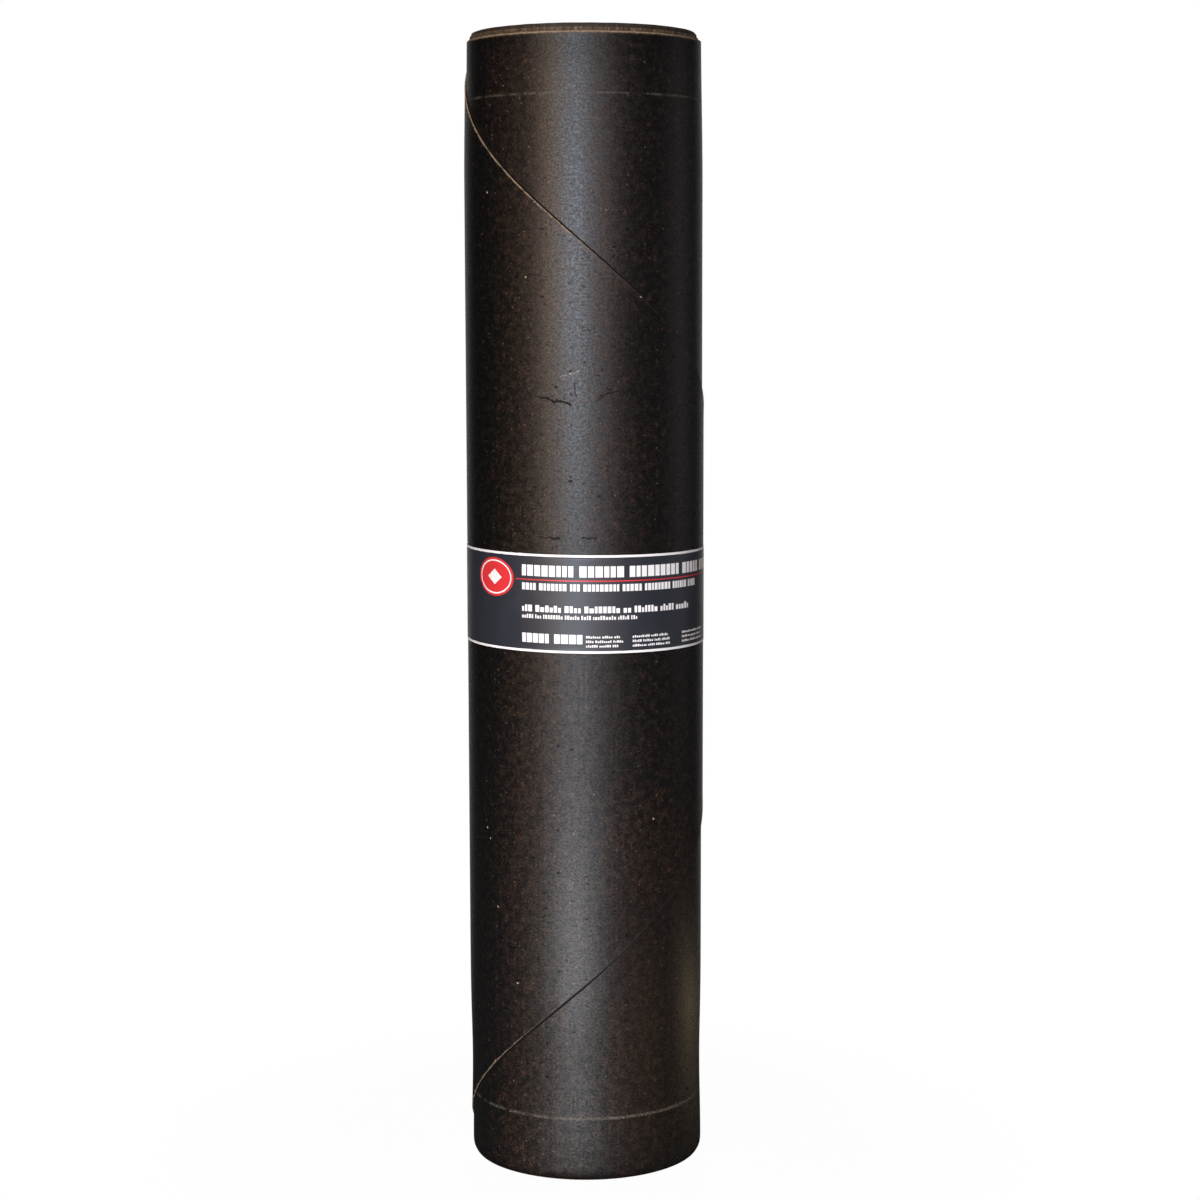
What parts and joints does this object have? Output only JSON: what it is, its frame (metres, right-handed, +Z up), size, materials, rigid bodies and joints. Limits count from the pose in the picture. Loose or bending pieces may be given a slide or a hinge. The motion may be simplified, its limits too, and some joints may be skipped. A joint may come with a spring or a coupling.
{
  "type": "roll of roofing felt",
  "caption": "Coreless roll of dark asphalt-saturated roofing felt stood on its end, with a mitred tail, a round bore and a printed paper band round its middle.",
  "frame": {"origin": "on the roll's axis, at the level of the lower end's outer turns, which it stands on", "axes": "+Z up along the roll's axis, -Y towards the front of the paper band, +X to the right of it"},
  "size_m": [0.1954, 0.1948, 0.9214],
  "materials": {
    "felt": "asphalt-saturated organic felt, near-black brown, mottled, with a dull sheen",
    "band_paper": "printed paper, dark slate ground with pale borders, semi-gloss"
  },
  "bodies": {
    "root": {"felt_roll": "felt", "paper_band": "band_paper"}
  },
  "joints": []
}
